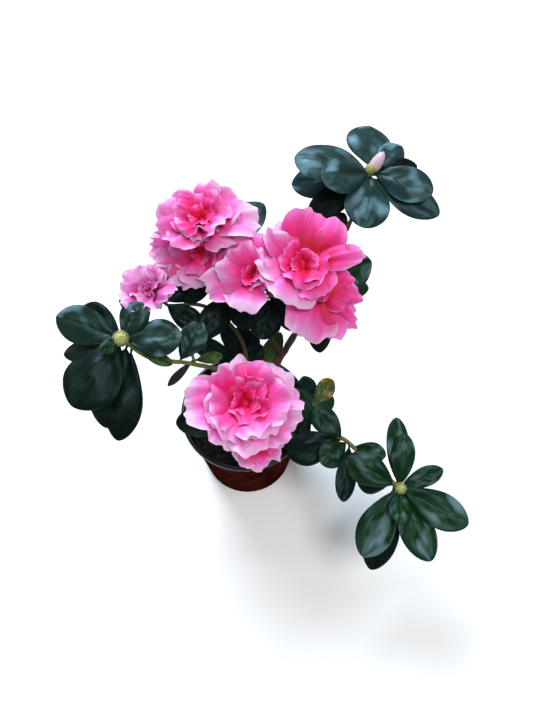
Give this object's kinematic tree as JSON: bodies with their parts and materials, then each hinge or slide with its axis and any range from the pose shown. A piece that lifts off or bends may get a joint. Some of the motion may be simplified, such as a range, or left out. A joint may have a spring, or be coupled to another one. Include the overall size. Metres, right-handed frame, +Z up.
{
  "type": "potted azalea shrub",
  "caption": "Small open azalea shrub with ruffled double blooms and dark leaf rosettes on thin woody boughs, growing in a tapered round plastic pot with a rolled lip.",
  "frame": {"origin": "centre of the pot's flat underside", "axes": "+Z up through the pot, +X to the right and -Y towards the viewer who faces the largest low bloom"},
  "size_m": [0.2424, 0.2265, 0.2233],
  "materials": {
    "pot": "satin",
    "soil": "rough",
    "bark": "rough",
    "green_stem": "satin",
    "foliage": "satin",
    "blossom": "matte"
  },
  "bodies": {
    "root": {"pot": "pot", "potting_soil": "soil", "trunk": "bark", "bough_back_right": "bark", "bough_back_left": "bark", "bough_middle": "bark", "bough_right_flowers": "bark", "bough_left": "green_stem", "bough_small_flower": "green_stem", "bough_front": "bark", "bough_right": "green_stem", "bloom_front": "blossom", "bloom_front_low": "blossom", "bloom_upper_left": "blossom", "bloom_upper_left_low": "blossom", "bloom_middle": "blossom", "bloom_right": "blossom", "bloom_right_low": "blossom", "bloom_small_left": "blossom", "foliage_left": "foliage", "foliage_left_inner": "foliage", "foliage_back_right": "foliage", "foliage_right": "foliage", "foliage_right_inner": "foliage", "foliage_centre": "foliage", "foliage_small_flower": "foliage", "foliage_back_left": "foliage", "foliage_middle": "foliage", "foliage_right_flowers": "foliage", "foliage_front": "foliage"}
  },
  "joints": []
}
